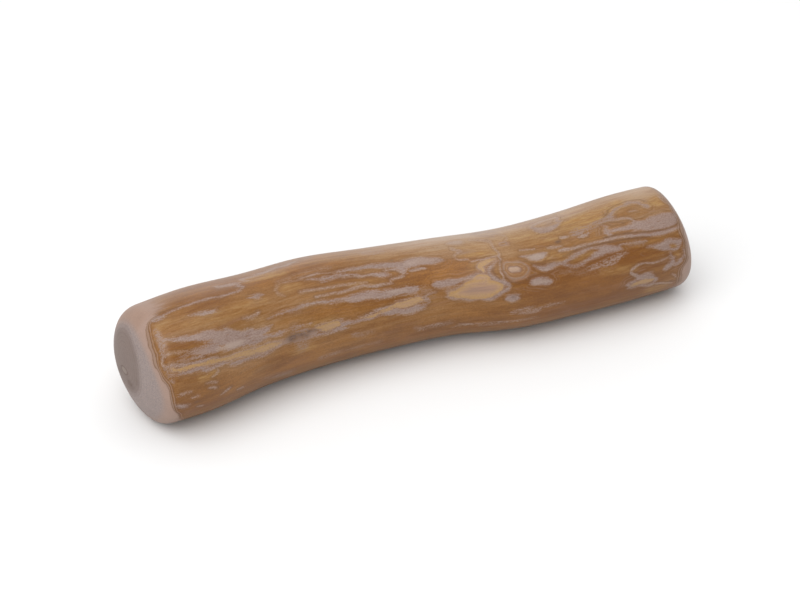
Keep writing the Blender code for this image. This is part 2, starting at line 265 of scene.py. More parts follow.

# Soft changes of colour, as (strength, stroke). Tone is lighter or darker, gold is yellower, the paler
# places inside the patches are painted highlights, fleck is loose grey-mauve specks and veil is a thin
# grey-mauve haze.
TINTS = {
    "gold": [
        (.3, [(-84, 22, 1.5), (-72, 29, 2), (-60, 30, 2), (-50, 29, 1.5)]),
        (.68, [(-52, -4, 1), (-46, -2, 1.8), (-40, 1, 1.5)]),
        (.52, [(-76, 79, .7), (-72, 80, 1), (-70, 79, .6)]),
        (.52, [(-42, 22, 1.5), (-38, 24, 1)]),
        (.6, [(-38, 66, .7), (-34, 68, 1), (-30, 68, .8)]),
        (.52, [(-22, 37.5, .8), (-12, 37, .8)]),
        (.7, [(13.5, 24.5, .4), (16.5, 23.5, .7), (19.5, 23, .5)]),
        (.45, [(20, 23, 1.2), (23, 25, 1)]),
        (.35, [(14, 12, 1), (18, 14, 1.6), (21, 17, 1.2)]),
        (.9, [(-75.5, 79.5, .5), (-73, 79.3, .9), (-70.3, 78.3, .6)]),
        (.82, [(15, 40, .6), (17.5, 38, 1)]),
        (.52, [(22.3, 44, .5), (22.2, 50, .6), (22.8, 56, .4)]),
        (.45, [(32, 5, 3), (38, 14, 3), (44, 18, 2)]),
        (.52, [(33, 35, .8), (40, 44, 2), (46, 44, 1)]),
        (.95, [(48, 10, 2), (56, 9, 3), (62, 8, 2), (68, 1, 2)]),
        (.52, [(46, 53, .8), (50, 51, 1.2), (53, 48, .6)]),
        (.52, [(55, 73, 1), (60, 76, 1.2), (66, 80, 1)]),
        (.9, [(79.7, 66.8, .3), (81.7, 67, .3)]),
        (.8, [(81.2, 75, .6), (81.6, 77.5, 1.1), (81.8, 81, .7)]),
        (.9, [(79, 14, 1.5), (81, 12, 2)]),
        (.68, [(72, 116, 1.5), (77, 120, 2)]),
        (.3, [(-32, -6, 1), (-20, -4, 2.2), (-8, 2, 1.5)]),
        (.6, [(-46, 87, .5), (-42, 89.5, 1.2), (-37, 91, .7)]),
    ],
    "tone": [
        (-.3, [(-79, 15, .8), (-72, 17, 1), (-64, 16, .8)]),
        (-.7, [(-86, 42, .7), (-80, 45.5, 1.2), (-74, 49, 1.1), (-70, 52, .5)]),
        (.2, [(-38, 6, 2), (-22, 8, 2), (-8, 9, 2)]),
        (-.3, [(-28, 58, 1.5), (-18, 60, 1.8), (-8, 60, 1.2)]),
        (-.45, [(0, 40, 2), (8, 40, 2.5), (14, 41, 2)]),
        (-.4, [(13.5, 26.5, .5), (17, 25.5, .8), (20.5, 24.5, .6)]),
        (-.45, [(38, 70, 3), (46, 76, 4), (54, 80, 2)]),
        (-.3, [(68, 14, .6), (71, 11.5, 1.2), (74, 11.5, .8)]),
        (-.4, [(50, 65, .8), (56, 65, 1.4), (62, 61.5, 1.2)]),
        (-.8, [(-86, 54, .6), (-82, 55, 1), (-78, 56.5, 1.2), (-73, 58.5, 1)]),
    ],
    "veil": [
        (.35, [(14, 19, .5), (17, 18, .7), (21, 17, .5)]),
        (.9, [(-85.4, 24, .5), (-85.3, 32, .8), (-85.6, 40, .9), (-86.2, 47, .7)]),
        (.7, [(-86.6, 62, .4), (-86.2, 68, .6), (-85.6, 75, .5)]),
        (.55, [(-84, 57.5, .4), (-81, 58.3, .5), (-76, 60, .5)]),
        (.45, [(-81, 54, .4), (-77, 55, .8), (-73, 57, .9)]),
        (.3, [(-42, -12, 2), (-30, -20, 2)]),
        (.45, [(-13, -6, 1.2), (-8, -3, 1.3)]),
        (.3, [(-43, 13, .8), (-34, 12, 1.2), (-26, 11, .8)]),
        (.45, [(-43, 66, 1.6), (-41, 76, 2.2), (-41, 86, 2)]),
        (.9, [(-46.5, 75, .5), (-43, 74.5, 1.4), (-39.5, 74, 1.4), (-36.5, 74.5, .7)]),
        (.45, [(-24, 90, .7), (-21, 92, 1.1), (-18, 93, .5)]),
        (.35, [(-4, 101, .5), (-1.5, 104, .8)]),
        (.35, [(3, 106, .8), (7, 104, 1)]),
        (.4, [(11, 65, .6), (15, 66, 1.1), (20, 65, .8)]),
        (.35, [(-34, 112, 1.2), (-29, 111, .8), (-15, 112, .8)]),
        (.4, [(-53, 112, .5), (-49, 117, 1.2), (-44, 121, 1.2)]),
        (.35, [(17, 118, .8), (24, 117, 1)]),
        (.35, [(43, 3, 1), (45, -3, 1)]),
        (.4, [(26, -10, 2.5), (24, -18, 3)]),
        (.15, [(40, 60, 1), (52, 70, 1.4), (58, 68, 1.8)]),
        (.95, [(49.3, 22, .8), (52, 22.5, 1.5), (55, 20.5, 1), (58, 18.5, .7), (61, 17, .6)]),
        (.35, [(65, 52, .8), (70, 54, .8)]),
        (.3, [(0, 56, 1.4), (2, 62, 1.2)]),
    ],
    # Painted highlights: paler places inside the grey patches.
    "painted_highlight": [
        (1, [(-68.5, 59.7, .5), (-65.2, 60.5, .9), (-62, 60.5, .8), (-60, 60, .3)]),
        (.6, [(32, 65, .4), (34, 66, .7), (36, 67, .4)]),
        (.9, [(32, 37, .4), (35, 38.3, .9), (37.5, 38.8, .4)]),
        (.9, [(12.5, 1, .5), (15.5, 1.5, 1)]),
        (.6, [(40, 3, .5), (44, 6, .8)]),
        (.5, [(-3, 23.5, .6), (1, 22, .9), (5, 23.5, .6)]),
        (.5, [(-11, 52, .5), (-6, 53, .7)]),
    ],
    "fleck": [
        (1.1, [(25, 99.5, .5), (27.5, 99.5, 1.3), (30.5, 100.3, 1.6), (33.5, 101.5, .9)]),
        (.9, [(34, 99, .4), (38, 98.5, .7), (42, 99, .3)]),
        (.8, [(22, 116, .3), (27, 116, .6), (34, 115, .5)]),
        (.8, [(-3, 107, .5), (1, 104, .9), (4, 103, .5)]),
        (.7, [(8, 115.5, .4), (14, 114, .6), (22, 115, .4)]),
        (.9, [(-84.5, 91, .4), (-82.4, 90, .7), (-79.5, 90.5, .4)]),
        (.9, [(-79, 97.5, .5), (-77, 98, .6)]),
        (.8, [(-84.5, 104, .5), (-82.5, 105, .9), (-80, 105.5, .5)]),
        (.6, [(-73, 92, .4), (-70, 95, .5)]),
        (1.05, [(50, 65, .4), (54, 65.5, .9), (58, 64, 1.2), (61, 61.5, 1), (64, 60, .4)]),
        (.5, [(-34, 112, 1), (-29, 111, .7)]),
        (.9, [(51, 28, .4), (52.3, 27, .8), (54, 26, .4)]),
    ],
}
# How far each kind fades out beyond its stroke, and in from it, in mm.
TINT_FEATHERS = {"tone": 1.2, "gold": 1.2, "painted_highlight": 0.8, "fleck": 0.8, "veil": 0.9}
# How much of the tone's range a tint of strength 1 takes.
TONE_SHARE = 0.42

# Broad changes, fading out all round: (x, around, half length, half width in mm, strength). Tone is
# lighter or darker: painted sheen on the top edge and painted shade on the underside where marked
# below, the wood's own tone elsewhere. Warm is a warmer orange-brown, pale is painted sheen that
# pales the top edge, and faint is where the marks are worn thin.
ZONES = {
    "tone": [
        # (48, -2) and (18, -15) are lighter along the top edge: painted sheen.
        (48, -2, 46, 8, .26), (18, -15, 26, 6, .3), (40, 24, 34, 6, .02), (6, 6, 14, 7, .16),
        # (-20, 117) here and (50, 116) on the next line darken the underside: painted shade.
        (50, 76, 24, 7, -.3), (52, 94, 30, 7, -.26), (-20, 117, 80, 3.5, -.22), (-74, 105, 14, 7, -.3),
        (50, 116, 40, 4, -.14), (-33, 2, 16, 6, -.24), (-30, 22, 14, 5, -.12), (-48, 88, 10, 6, -.2),
        (42, 66, 10, 8, -.34), (-50, 72, 16, 4, .18), (-58, -9, 9, 4, -.25), (4, 40, 16, 5, -.44),
        (6, 62, 8, 4, .12), (-66, -8, 14, 7, -.34), (58, 66, 12, 6, -.26), (-58, 77, 14, 7, .3),
        (77, -8, 8, 8, .3), (-70, 38, 12, 6, .08), (24, 38, 6, 6, .1),
    ],
    "warm": [
        (-54, 100, 32, 9, .7), (4, 104, 28, 7, .6), (-50, -4, 26, 6, .5), (48, 84, 24, 8, .35),
        (-32, -3, 22, 7, .32), (-28, 58, 16, 3, .4), (6, 39, 12, 4.5, .85),
    ],
    # Painted sheen, paling the top edge.
    "pale_and_sheen": [
        (16, -15, 26, 5.5, .42), (84, -20, 6, 4, .25), (13, 18, 7, 4, .12),
    ],
    "faint": [
        (-43, 24, 5, 5, .45), (18, 12, 12, 7, .5), (32, 6, 10, 5, .35), (80, 8, 8, 6, .3),
        (-56, -6, 20, 5, .3),
    ],
}

# Knots with rings round them: x, around, half length of the core in mm, the size of the rings, and
# which ring the core starts with, in mm.
KNOT_HEARTS = [
    (27.0, 47.0, 0.9, 0.86, 0.0),
    (27.2, 13.4, 0.8, 0.62, 2.1),
    (25.5, 229.0, 1.3, 1.2, 0.0),
    (-58.0, 262.0, 1.1, 0.85, 0.4),
]
# How much further apart the rings are towards the tip, and towards the front.
RING_LEAN = (0.18, 0.20)
# The ring number, in mm, that stands for no knot nearby.
NO_KNOT = 20.0

# Thin or small dark places: (strength, stroke).
DARKS = [
    (.7, [(-83, 6.8, .2), (-81, 6.2, .22), (-78.7, 6.8, .22), (-76, 7.4, .2), (-72, 8, .12)]),
    (.45, [(-83.5, 10.2, .12), (-81, 9.4, .15), (-78, 8.6, .15), (-75, 8.4, .12)]),
    (.25, [(-44.5, 76.5, .5), (-42, 75.5, .9), (-39.5, 76.5, .7)]),
    (.65, [(42.8, 27.5, .3), (43.6, 27.3, .6), (44.2, 26, .3)]),
    (.35, [(61, 13, .5), (62.5, 11, .7), (63, 14, .4)]),
    (.7, [(43, 44.8, .15), (47, 43.4, .2), (51, 42, .2), (55, 42.8, .22), (60, 44.5, .26),
     (65, 46.5, .28), (70, 49, .24), (73, 50.8, .15)]),
    (.75, [(58, 37.6, .15), (62, 39, .2), (65, 40, .22), (69, 42.8, .25), (73, 45.2, .25),
     (78, 47.2, .25), (82, 47, .25), (85, 44, .2)]),
    (.55, [(62, 22, .15), (64, 24.5, .2), (66, 27.5, .2), (65, 30.5, .15)]),
    (.45, [(61.5, 11, .15), (65, 4, .2), (70, 1, .2), (74.5, 3, .2), (77, 8, .2), (78.3, 14, .15)]),
    (.6, [(21.2, 43, .18), (20.9, 47, .2), (21.3, 52, .2), (22.4, 57, .18)]),
    (.55, [(24, 35, .15), (23.9, 42, .15), (23.8, 50, .15), (24.2, 56, .18), (25.3, 62, .2)]),
    (.5, [(29.2, 38, .12), (31.5, 42, .15), (33.5, 46, .18), (36, 48.7, .2), (41, 49.3, .15)]),
    (.5, [(25, 60, .15), (27.5, 63.3, .2), (30, 61.5, .2), (31.5, 58, .2), (33.2, 56, .15)]),
    (.6, [(84.9, 56, .2), (85, 62, .25), (85, 68, .25), (85, 74, .25), (84.9, 80, .25), (84.4, 86, .25),
     (83.6, 92, .25), (82.6, 99, .2), (82.2, 106, .18)]),
    (.45, [(78.5, 111, .3), (81, 114.5, .4), (82.6, 117.5, .3)]),
]
# How far they fade out beyond their stroke, and in from it, in mm.
DARK_FEATHER = 0.22

# Small dark scars: (x, around, half length, half width in mm, strength).
SCARS = [
    (-43.9, 73.6, 1.5, 1, 1), (-42.2, 71.6, 0.8, 0.5, .9), (-40.6, 73.2, 1.2, 0.7, .8),
    (-39, 75.6, 0.8, 0.5, .6), (-38.2, 72.4, 1.1, 0.5, .9), (-36.4, 72.8, 0.8, 0.35, .8),
    (-77.4, 104.5, 0.7, 0.45, .5), (43.5, 26.8, 0.9, 0.45, .6), (25.4, 78.8, 0.6, 0.45, .45),
    (-6.6, 14.8, 0.7, 0.4, .4),
]

# Where the outer layers stop at each end (-1 butt, +1 tip): (around, x), going round the stick.
EDGES = {
    -1: [(-60, -80.5), (-20, -80), (0, -80.3), (5, -81), (7.5, -83.2), (10.5, -84.7), (13.5, -85.7),
        (17, -86.7), (22, -87), (30, -87.3), (40, -87.6), (50, -87.9), (60, -88.2), (68, -87.6),
        (76, -86.8), (84, -86.4), (92, -86), (100, -85.6), (110, -84.8), (118, -83), (128, -81),
        (140, -80.2), (170, -82.5), (200, -85), (230, -83), (255, -84.5), (280, -82)],
    1: [(0, 85.2), (12, 84.6), (22, 85.2), (34, 85.6), (44, 85.4), (54, 84.9), (66, 84.9), (78, 84.6),
        (88, 84), (98, 82.8), (108, 82.3), (118, 82.6), (135, 82), (160, 84.5), (190, 85.5), (215, 83),
        (240, 84.2), (270, 86), (300, 84), (330, 84.5)],
}
# How far inside that edge the second line runs, in mm, and how crisp both lines are (0 to 1).
EDGE_GAPS = {
    -1: [(-60, 1.1), (10, .9), (22, 1.25), (45, 1.25), (60, 1.15), (75, .9), (90, .65), (110, .5),
        (130, .6), (200, 1), (280, 1.1)],
    1: [(0, .8), (60, .9), (110, .6), (200, 1), (300, .7)],
}
EDGE_CRISPNESS = {
    -1: [(-60, .1), (0, .05), (5, .15), (9, .8), (14, 1), (60, 1), (118, 1), (140, .8), (190, .5),
        (240, .7), (290, .3)],
    1: [(0, .7), (30, 1), (100, 1), (150, .6), (220, .8), (300, .5)],
}
# The cut faces: the pith's place, the pith's size and the heartwood's place, as (towards the front,
# up) in mm from the middle of the face, the radii of the dark heartwood's and the pale sapwood's
# outlines by angle, and dark spots, as (towards the front, up, half width, half height, strength).
CUT_FACES = {
    -1: {"pith": (-4.5, -2.3), "pith_size": (1.9, 1.2), "heart": (-4, 1.5),
         "heart_radii": [(0, 10.4), (45, 8.3), (90, 7.6), (135, 9.6), (180, 10.8), (225, 9.4),
                         (270, 7.6), (315, 8.8)],
         "sap_radii": [(-12, 14.6), (9, 13.2), (24, 12.2), (43, 11.7), (59, 11.8), (74, 12.6),
                       (90, 14), (106, 14.8), (122, 15.3), (135, 15.6), (180, 15.4), (230, 15.2),
                       (270, 14.8), (320, 14.7)],
         "spots": [(-1.6, -5.5, 1.9, 1.2, .75), (-7.2, -4, 1.3, .9, .5), (2.5, -2.5, .8, 1.6, .25)]},
    1: {"pith": (1.4, -0.8), "pith_size": (1.2, 0.9), "heart": (0.9, 0.4),
        "heart_radii": [(0, 6.6), (60, 7.4), (120, 6.2), (180, 7), (240, 5.8), (300, 7.2)],
        "sap_radii": [(0, 11.6), (60, 12.6), (120, 12), (180, 13), (240, 12.2), (300, 11.4)],
        "spots": [(4.6, 3, 1.1, .8, .45), (-3.6, -4.2, .9, 1.3, .4)]},
}
# How many degrees the lines round the ends and the outlines inside the cut faces are smoothed over.
EDGE_BLUR = 13
FACE_BLUR = 61
# Only points this far along, in mm, have an end's fields, and only those with less than this share of
# the radius are on a cut face. The others have the values in OUTSIDE.
END_FROM = 60.0
FACE_SHARE = 0.999
OUTSIDE = {"past": -50.0, "inner": -50.0, "crisp": 1.0, "sap": -20.0, "heart": -20.0, "pith": 9.0}

# How far outside a mark its fields still run, in mm, the grey-mauve rim left round a tan mark, the
# distance between points along a stroke, and the least half width that it is drawn with.
REACH = 3.0
TAN_RIM = 0.38
STROKE_STEP = 0.8
LEAST_WIDTH = 0.05
# Lines are drawn at this part of their stroke's width.
LINE_THINNESS = 0.8

# Seeds of the made-up marks and of the marks' wavering.
RANDOM_SEED = 41
WOBBLE_SEED = 17
# Made-up tan marks: around, x, length and half width in mm.
MADE_UP_TANS = [(176, -62, 22, 1.3), (205, -20, 14, 1.6), (236, -38, 18, 1.2), (262, 44, 20, 1.8),
                (292, -6, 16, 1.2), (186, 52, 17, 1.4)]
# Made-up small marks: kind, how many, the ranges of x, around, length and half width, and the drift.
MADE_UP_SMALL = [("brown", 16, (-80, 72), (158, 318), (5, 14), (0.25, 0.6), 3.0),
                 ("line", 18, (-82, 70), (155, 322), (6, 30), (0.2, 0.4), 8.0)]
# Made-up tints: kind, how many, strength and half width in mm. The paler places inside patches
# among them are painted highlights.
MADE_UP_TINTS = [("gold", 16, 0.8, 1.4), ("tone", 8, -0.5, 1.6), ("veil", 16, 0.45, 1.0),
                 ("fleck", 12, 0.9, 0.9), ("painted_highlight", 8, 0.6, 0.8)]


def through_stations(x, values):
    """A smooth curve through one value for each station: cubic pieces with matching slopes."""
    values = np.asarray(values, float)
    slopes = np.gradient(values, STATION_X)
    left = np.clip(np.searchsorted(STATION_X, x) - 1, 0, len(values) - 2)
    step = STATION_X[left + 1] - STATION_X[left]
    t = (x - STATION_X[left]) / step
    return cubic(values[left], values[left + 1], slopes[left] * step, slopes[left + 1] * step, t)


def cubic(start, end, start_slope, end_slope, t):
    """A cubic from start to end with these slopes, at t from 0 to 1."""
    return (start * (1 + 2 * t) * (1 - t) ** 2 + start_slope * t * (1 - t) ** 2
            + end * t**2 * (3 - 2 * t) + end_slope * t**2 * (t - 1))


def turn_between(around, other):
    """The signed turn from one angle to another, from -180 to 180 degrees."""
    return (around - other + 180) % 360 - 180


def nearness(x, around, place_x, place_around, half_length, half_width):
    """1 at a place on the stick's side, falling off smoothly over these half sizes in mm."""
    across = np.radians(turn_between(around, place_around)) * MEAN_RADIUS
    return np.exp(-(((x - place_x) / half_length) ** 2) - (across / half_width) ** 2)


def dome_share(x):
    """The share of the full radius that is left at x: 1 on the body, less on the domes."""
    share = np.ones_like(x)
    for side, (depth, roundness) in DOMES.items():
        t = np.clip((side * x - (HALF - depth)) / depth, 0, 1)
        share = share * (1 - t**roundness) ** (1 / roundness)
    return share


def swelling(x, around):
    """Height of the knots and hollows above the plain round branch."""
    height = np.zeros_like(around)
    for knot_x, knot_around, rise, half_length, half_width in KNOTS:
        height += rise * nearness(x, around, knot_x, knot_around, half_length, half_width)
    for depth, lobes, twist, start in FLUTES:
        height += depth * np.sin(np.radians(lobes * (around + start) + twist * x * lobes))
    return height


def surface(x, around, share):
    """Points of the surface. Share is the part of the full radius."""
    angle = np.radians(around)
    full = through_stations(x, RADIUS)
    radius = (full + swelling(x, around)) * share
    across, height = -radius * np.sin(angle), radius * np.cos(angle)
    along = np.array(x, float)
    for side, (lean_y, lean_z) in CUT_LEAN.items():
        near_end = np.clip((side * x - HALF + CUT_REACH) / CUT_REACH, 0, 1) ** 2
        along = along + near_end * (lean_y * across + lean_z * height)
    centre_height = full + through_stations(x, CLEARANCE) - WORN_DEPTH
    rest = np.maximum(centre_height + height, 0.0)
    return np.stack([along, through_stations(x, SWING) + across, rest], axis=-1)


def dome_profile(side):
    """(x, share, arc) along a dome from its edge to its tip, arc in mm from the edge."""
    depth, roundness = DOMES[side]
    share = np.sin(np.linspace(np.pi / 2, 0, PROFILE_POINTS))
    inset = depth * (1 - (1 - share**roundness).clip(0) ** (1 / roundness))
    x = side * (HALF - inset)
    radius = share * through_stations(x, RADIUS)
    arc = np.concatenate([[0], np.cumsum(np.hypot(np.diff(x), np.diff(radius)))])
    return x, share, arc


PROFILES = {side: dome_profile(side) for side in DOMES}


def arc_place(x):
    """Distance along the stick's side, in mm: x on the body, running on over the domes to their tips."""
    place = np.array(x, float)
    for side, (depth, _) in DOMES.items():
        profile_x, _, arc = PROFILES[side]
        beyond = np.interp(side * x, side * profile_x, arc)
        place = np.where(side * x > HALF - depth, side * (HALF - depth + beyond), place)
    return place


def ring_places():
    """(x, share, arc place) of every ring of the skin, from tip to tip."""
    ends = {}
    for side, (depth, _) in DOMES.items():
        profile_x, share, arc = PROFILES[side]
        at = np.linspace(0, arc[-1], int(arc[-1] / END_STEP) + 1)[1:-1]
        ends[side] = np.stack([np.interp(at, arc, profile_x), np.interp(at, arc, share),
                               side * (HALF - depth + at)], axis=-1)
    left_edge, right_edge = DOMES[-1][0] - HALF, HALF - DOMES[1][0]
    body = [left_edge]
    while body[-1] < right_edge:
        here = body[-1]
        step = KNOT_STEP if KNOT_SPAN[0] < here < KNOT_SPAN[1] else BODY_STEP
        to_edge = min(here - left_edge, right_edge - here)
        body.append(here + min(step, END_STEP + STEP_GROWTH * to_edge))
    body = np.array(body)
    body = left_edge + (body - left_edge) * (right_edge - left_edge) / (body[-1] - left_edge)
    middle = np.stack([body, np.ones_like(body), body], axis=-1)
    return np.concatenate([ends[-1][::-1], middle, ends[1]])


def ring_turns():
    """The angles of the points round a ring: close together on the side that shows."""
    fine = np.arange(FINE_FROM, FINE_TO, FINE_TURN)
    rest = 360 - (FINE_TO - FINE_FROM)
    return np.concatenate([fine, FINE_TO + np.arange(0, rest, COARSE_TURN)])


def round_curve(points, blur):
    """A closed curve through (angle, value) points, smoothed over blur degrees, as a function."""
    angles, values = np.array(points, float).T
    angles = angles % 360
    order = np.argsort(angles)
    grid = np.arange(0, 360, 1.0)
    drawn = np.interp(grid, angles[order], values[order], period=360)
    weights = np.hanning(blur)
    weights /= weights.sum()
    overlap = blur // 2
    wrapped = np.concatenate([drawn[-overlap:], drawn, drawn[:overlap]])
    smooth = np.convolve(wrapped, weights, mode="valid")
    return lambda around: np.interp(np.asarray(around) % 360, grid, smooth, period=360)


def stroke_path(stroke):
    """A stroke as closely spaced points on the surface, and its half width at each."""
    stroke = np.array(stroke, float)
    slopes = np.gradient(stroke, axis=0)
    spans = np.hypot(np.diff(stroke[:, 0]), np.radians(np.diff(stroke[:, 1])) * MEAN_RADIUS)
    fine = [0.0]
    for start, span in enumerate(spans):
        count = max(int(np.ceil(span / STROKE_STEP)), 1)
        fine.extend(start + (np.arange(count) + 1) / count)
    at = np.array(fine)
    left = np.clip(np.floor(at).astype(int), 0, len(stroke) - 2)
    path = cubic(stroke[left], stroke[left + 1], slopes[left], slopes[left + 1], (at - left)[:, None])
    x = np.clip(path[:, 0], -HALF + 0.01, HALF - 0.01)
    return surface(x, path[:, 1], dome_share(x)), np.maximum(path[:, 2], LEAST_WIDTH)


def inside_stroke(points, stroke, reach):
    """(indices, depth): the points within reach of a stroke, and how far each is inside its edge."""
    path, width = stroke_path(stroke)
    margin = width.max() + reach
    near = np.all((points > path.min(axis=0) - margin) & (points < path.max(axis=0) + margin), axis=1)
    picked = np.flatnonzero(near)
    best = np.full(len(picked), -np.inf)
    place = points[picked]
    for start, end, start_width, end_width in zip(path[:-1], path[1:], width[:-1], width[1:]):
        run = end - start
        along = np.clip((place - start) @ run / max(run @ run, 1e-9), 0, 1)
        distance = np.linalg.norm(place - start - along[:, None] * run, axis=1)
        best = np.maximum(best, start_width + along * (end_width - start_width) - distance)
    return picked, best


def waves(points, lengths, rng, count=28):
    """A smooth random field of about unit size, its waves about this long in X, Y and Z, in mm."""
    total = np.zeros(len(points))
    for _ in range(count):
        way = rng.normal(0, 1, 3)
        way *= rng.uniform(0.6, 1.5) / np.linalg.norm(way) / np.array(lengths)
        total += np.sin(2 * np.pi * (points @ way) + rng.uniform(0, 2 * np.pi))
    return total * math.sqrt(2 / count)


def wobbled(points, along, across, rng):
    """The points moved at random by about these distances in mm, so that marks drawn there waver."""
    moved = points.copy()
    fibres = 0.75 * waves(points, (15.0, 1.3, 1.3), rng) + 0.65 * waves(points, (9.0, 3.2, 3.2), rng)
    moved[:, 0] += along * fibres
    for axis in (1, 2):
        moved[:, axis] += across * waves(points, (5.5, 4.0, 4.0), rng)
    return moved


def wander(x, around, length, width, drift, rng):
    """A made-up stroke: along the stick from x, drifting round it by about this many degrees."""
    count = max(int(length / 4), 3)
    along = np.linspace(0, 1, count)
    turns = around + np.cumsum(rng.normal(0, drift / count, count)) + rng.normal(0, drift) * along
    swell = np.sin(np.pi * (0.06 + 0.88 * along)) ** 0.8 * rng.uniform(0.75, 1.25, count)
    return [(x + length * a, turn, max(width * s, 0.12)) for a, turn, s in zip(along, turns, swell)]


def made_up_marks(rng):
    """Marks for the side that the photograph doesn't show, in the manner of the others."""
    marks = []
    for around in np.arange(162, 318, 15.5):
        x = rng.uniform(-84, -60)
        while x < 70:
            length = rng.uniform(16, 38)
            turn, width = around + rng.uniform(-5, 5), rng.uniform(0.5, 1.7)
            marks.append(("grey", wander(x, turn, min(length, 80 - x), width, 6.0, rng)))
            x += length + rng.uniform(6, 26)
    for around, x, length, width in MADE_UP_TANS:
        lens = wander(x, around, length, width, 3.0, rng)
        marks.append(("grey", [(px, turn, wide + 0.75) for px, turn, wide in lens]))
        marks.append(("tan", lens))
    for kind, count, *ranges, drift in MADE_UP_SMALL:
        for _ in range(count):
            x, around, length, width = (rng.uniform(*span) for span in ranges)
            marks.append((kind, wander(x, around, length, width, drift, rng)))
    return marks


def made_up_tints(rng):
    """Soft tints for the side that the photograph doesn't show, by kind."""
    tints = {}
    for kind, count, strength, width in MADE_UP_TINTS:
        tints[kind] = []
        for _ in range(count):
            x, around = rng.uniform(-80, 66), rng.uniform(152, 322)
            length = rng.uniform(6, 20)
            turn = around + rng.normal(0, 3)
            size = width * rng.uniform(0.6, 1.2)
            stroke = [(x, around, 0.5 * size), (x + length / 2, turn, size),
                      (x + length, around, 0.4 * size)]
            tints[kind].append((strength * rng.uniform(0.6, 1.1), stroke))
    return tints


def made_up_darks(marks, rng):
    """Thin dark lines that run beside some of the made-up marks."""
    darks = []
    for kind, stroke in marks:
        if kind != "grey" or len(stroke) < 5 or rng.random() < 0.45:
            continue
        away = rng.choice([-1, 1]) * rng.uniform(0.5, 1.1)
        line = []
        for x, around, width in stroke[1:-1]:
            beside = np.degrees((width * np.sign(away) + away) / MEAN_RADIUS)
            line.append((x, around + beside, rng.uniform(0.1, 0.24)))
        darks.append((rng.uniform(0.35, 0.7), line))
    return darks


def roughness_field(x):
    """How frayed the marks are: less by the main knot and on the tip's half."""
    return 1 - 0.45 * np.clip((x + 2) / 8, 0, 1) - 0.30 * np.exp(-(((x - 18) / 12) ** 2))


def layers_field(x):
    """How clearly the layers that are cut through at a slant show: more towards the tip."""
    return 0.30 + 0.50 * np.clip((x - 2) / 12, 0, 1) + 0.12 * np.clip((x - 42) / 10, 0, 1)


def worn_fields(points, marks):
    """How far each point is inside the grey-mauve patches, the thin lines and the tan ones, in mm."""
    worn, thin, tan = (np.full(len(points), -REACH) for _ in range(3))
    rng = np.random.default_rng(WOBBLE_SEED)
    frayed = wobbled(points, 0.65 * roughness_field(points[:, 0]), 0.15, rng)
    steady = wobbled(points, 0.15, 0.08, rng)
    for kind, stroke in marks:
        if kind == "line":
            stroke = [(x, around, width * LINE_THINNESS) for x, around, width in stroke]
            picked, depth = inside_stroke(steady, stroke, REACH)
            thin[picked] = np.maximum(thin[picked], depth)
            continue
        picked, depth = inside_stroke(frayed, stroke, REACH)
        if kind == "grey":
            worn[picked] = np.maximum(worn[picked], depth)
        elif kind == "tan":
            worn[picked] = np.maximum(worn[picked], depth + TAN_RIM)
            tan[picked] = np.maximum(tan[picked], depth)
        else:
            worn[picked] = np.minimum(worn[picked], -depth)
            tan[picked] = np.minimum(tan[picked], -depth)
    return {"worn": worn, "thin": thin, "tan": tan}


def zone_field(x, around, zones):
    """The sum of the broad changes of one kind."""
    total = np.zeros(len(x))
    for *place, strength in zones:
        total += strength * nearness(x, around, *place)
    return total


def knot_field(x, around, points):
    """The distance from the nearest knot's core, in mm of its own rings."""
    rng = np.random.default_rng(WOBBLE_SEED + 1)
    waver = 0.30 * waves(points, (4.5, 3.0, 3.0), rng)
    nearest = np.full(len(x), NO_KNOT)
    for knot_x, knot_around, core, size, start in KNOT_HEARTS:
        along = x - knot_x
        along = np.sign(along) * np.maximum(np.abs(along) - core * size, 0)
        across = np.radians(turn_between(around, knot_around)) * through_stations(x, RADIUS)
        distance = np.hypot(along, across) - RING_LEAN[0] * along - RING_LEAN[1] * across
        distance = distance + waver * np.clip(distance / 2.5, 0.15, 1)
        nearest = np.minimum(nearest, start + distance / size)
    return nearest


def faded(points, stroke, feather):
    """(indices, amount): the points by a stroke, and 0 to 1 from outside its edge to inside it."""
    picked, depth = inside_stroke(points, stroke, feather)
    return picked, np.clip((depth + feather) / (2 * feather), 0, 1)


def soft_field(points, tints, feather):
    """The sum of the soft tints of one kind."""
    total = np.zeros(len(points))
    for strength, stroke in tints:
        picked, amount = faded(points, stroke, feather)
        total[picked] += strength * amount * amount * (3 - 2 * amount)
    return total


def dark_field(points, darks):
    """Small dark places and thin dark lines: the strongest counts."""
    total = np.zeros(len(points))
    for strength, stroke in darks:
        picked, amount = faded(points, stroke, DARK_FEATHER)
        total[picked] = np.maximum(total[picked], strength * amount)
    return total


def scar_field(x, around):
    """How dark the small scars make each point: the strongest counts."""
    dark = np.zeros(len(x))
    for *place, strength in SCARS:
        dark = np.maximum(dark, strength * nearness(x, around, *place))
    return dark


def face_fields(face, turn, radius):
    """Fields of one cut face: mm inside the sapwood and the heartwood, 1 on the pith's outline, and
    how dark a small spot is."""
    front, up = radius * np.sin(np.radians(turn)), radius * np.cos(np.radians(turn))
    heart_front, heart_up = front - face["heart"][0], up - face["heart"][1]
    heart_turn = np.degrees(np.arctan2(heart_front, heart_up))
    heart_edge = round_curve(face["heart_radii"], FACE_BLUR)(heart_turn)
    (pith_front, pith_up), (long, short) = face["pith"], face["pith_size"]
    fields = {"sap": round_curve(face["sap_radii"], FACE_BLUR)(turn) - radius,
              "heart": heart_edge - np.hypot(heart_front, heart_up),
              "pith": np.hypot((front - pith_front) / long, (up - pith_up) / short)}
    spot = np.zeros(len(turn))
    for spot_front, spot_up, wide, tall, strength in face["spots"]:
        away = ((front - spot_front) / wide) ** 2 + ((up - spot_up) / tall) ** 2
        spot = np.maximum(spot, strength * np.exp(-away))
    return fields, spot


